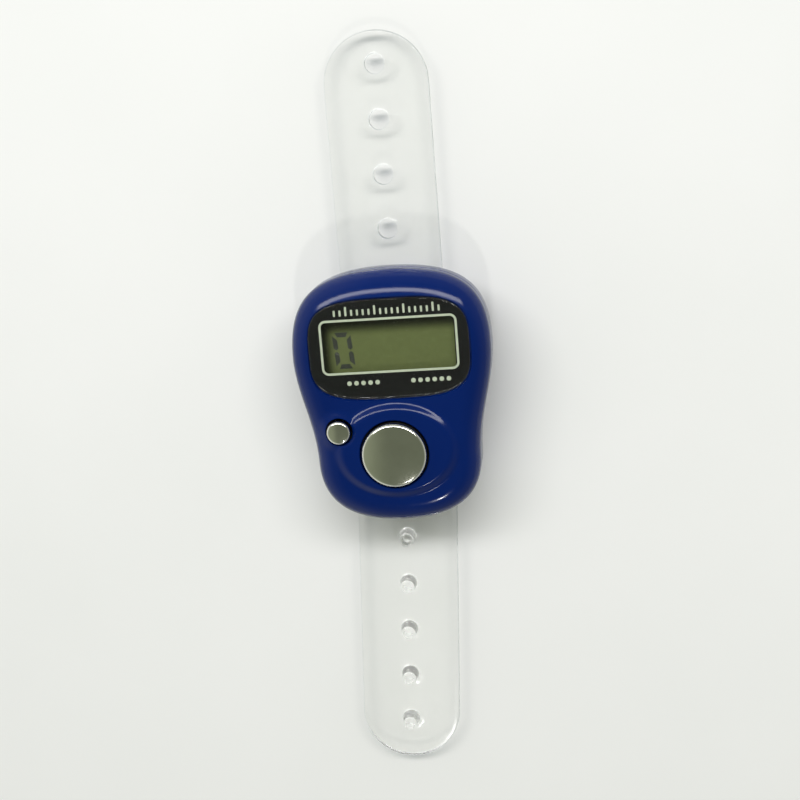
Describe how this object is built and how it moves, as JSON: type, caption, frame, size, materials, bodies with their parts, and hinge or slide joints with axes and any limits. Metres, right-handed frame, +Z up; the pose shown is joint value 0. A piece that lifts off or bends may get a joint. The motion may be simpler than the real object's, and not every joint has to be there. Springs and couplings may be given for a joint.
{
  "type": "row counter",
  "caption": "Finger-worn electronic row counter: waisted plastic case with a display window, a large count key, a small reset key and a clear strap that closes with pegs.",
  "frame": {"origin": "on the surface the counter rests on, under the middle of the strap", "axes": "+Z up through the display, +Y along the strap from the peg end to the hole end, +X to the right of the display"},
  "size_m": [0.0312, 0.1209, 0.015],
  "materials": {
    "blue_case": "gloss moulded ABS",
    "window_black": "polished clear acrylic printed black behind",
    "print_black": "flat black ink",
    "lcd_glass": "thin clear glass",
    "lcd_film": "olive polariser film",
    "foam": "soft foam",
    "zebra": "silicone with fine carbon layers",
    "board": "green solder mask",
    "epoxy": "black epoxy",
    "ceramic": "fired ceramic",
    "resistor": "black film",
    "silicone": "satin silicone rubber",
    "carbon": "dull carbon rubber",
    "chrome_key": "bright plated plastic",
    "cell_steel": "nickel-plated steel",
    "gasket": "nylon",
    "spring_metal": "sprung bronze strip",
    "screw_steel": "zinc-plated steel",
    "clear_strap": "clear flexible vinyl, slightly frosted"
  },
  "bodies": {
    "case": {"front_case": "blue_case", "rear_case": "blue_case", "display_window": "window_black", "window_print": "print_black", "lcd_front_glass": "lcd_glass", "lcd_rear_glass": "lcd_glass", "lcd_front_polariser": "lcd_film", "lcd_rear_reflector": "lcd_film", "lcd_foam_pad": "foam", "zebra_connector": "zebra", "circuit_board": "board", "chip_blob": "epoxy", "board_capacitor": "ceramic", "board_resistor": "resistor", "count_dome": "silicone", "reset_dome": "silicone", "battery_can": "cell_steel", "battery_cap": "cell_steel", "battery_gasket": "gasket", "positive_contact": "spring_metal", "negative_contact": "spring_metal", "case_screw_1": "screw_steel", "case_screw_2": "screw_steel", "case_screw_3": "screw_steel", "case_screw_4": "screw_steel", "board_screw_1": "screw_steel", "board_screw_2": "screw_steel"},
    "count_button": {"count_button": "chrome_key", "count_contact_pill": "carbon"},
    "reset_button": {"reset_button": "chrome_key", "reset_contact_pill": "carbon"},
    "battery_door": {"battery_door": "blue_case"},
    "strap": {"strap_middle": "clear_strap"},
    "hole_end_inner": {"strap_hole_inner": "clear_strap"},
    "hole_end_outer": {"strap_hole_outer": "clear_strap"},
    "peg_end_inner": {"strap_peg_inner": "clear_strap"},
    "peg_end_outer": {"strap_peg_outer": "clear_strap"}
  },
  "joints": [
    {"name": "count_press", "type": "slide", "parent": "case", "child": "count_button", "axis": [0, 0, -1], "range_m": [0, 0.0009], "stiffness_N_per_m": 800, "deforming": ["count_dome"]},
    {"name": "reset_press", "type": "slide", "parent": "case", "child": "reset_button", "axis": [0, 0, -1], "range_m": [0, 0.0009], "stiffness_N_per_m": 600, "deforming": ["reset_dome"]},
    {"name": "battery_door_turn", "type": "hinge", "parent": "case", "child": "battery_door", "pos_m": [0, 0.0045, 0.003], "axis": [0, 0, 1], "range_deg": [0, 45]},
    {"name": "strap_slide", "type": "slide", "parent": "case", "child": "strap", "axis": [0, 1, 0], "range_m": [-0.003, 0.003]},
    {"name": "hole_end_bend", "type": "hinge", "parent": "strap", "child": "hole_end_inner", "pos_m": [0, 0.0259, 0.0013], "axis": [-1, 0, 0], "range_deg": [-5, 80], "stiffness_Nm_per_rad": 0.01},
    {"name": "hole_end_curl", "type": "hinge", "parent": "hole_end_inner", "child": "hole_end_outer", "pos_m": [0, 0.0426, 0.0013], "axis": [-1, 0, 0], "range_deg": [-5, 80]},
    {"name": "peg_end_bend", "type": "hinge", "parent": "strap", "child": "peg_end_inner", "pos_m": [-0.00043, -0.01689, 0.0013], "axis": [0.9983, -0.0576, 0], "range_deg": [-5, 80], "stiffness_Nm_per_rad": 0.01},
    {"name": "peg_end_curl", "type": "hinge", "parent": "peg_end_inner", "child": "peg_end_outer", "pos_m": [-0.00136, -0.03306, 0.0013], "axis": [0.9983, -0.0576, 0], "range_deg": [-5, 80]}
  ],
  "couplings": [
    {"joint": "hole_end_curl", "follows": "hole_end_bend", "ratio": 1},
    {"joint": "peg_end_curl", "follows": "peg_end_bend", "ratio": 1}
  ]
}
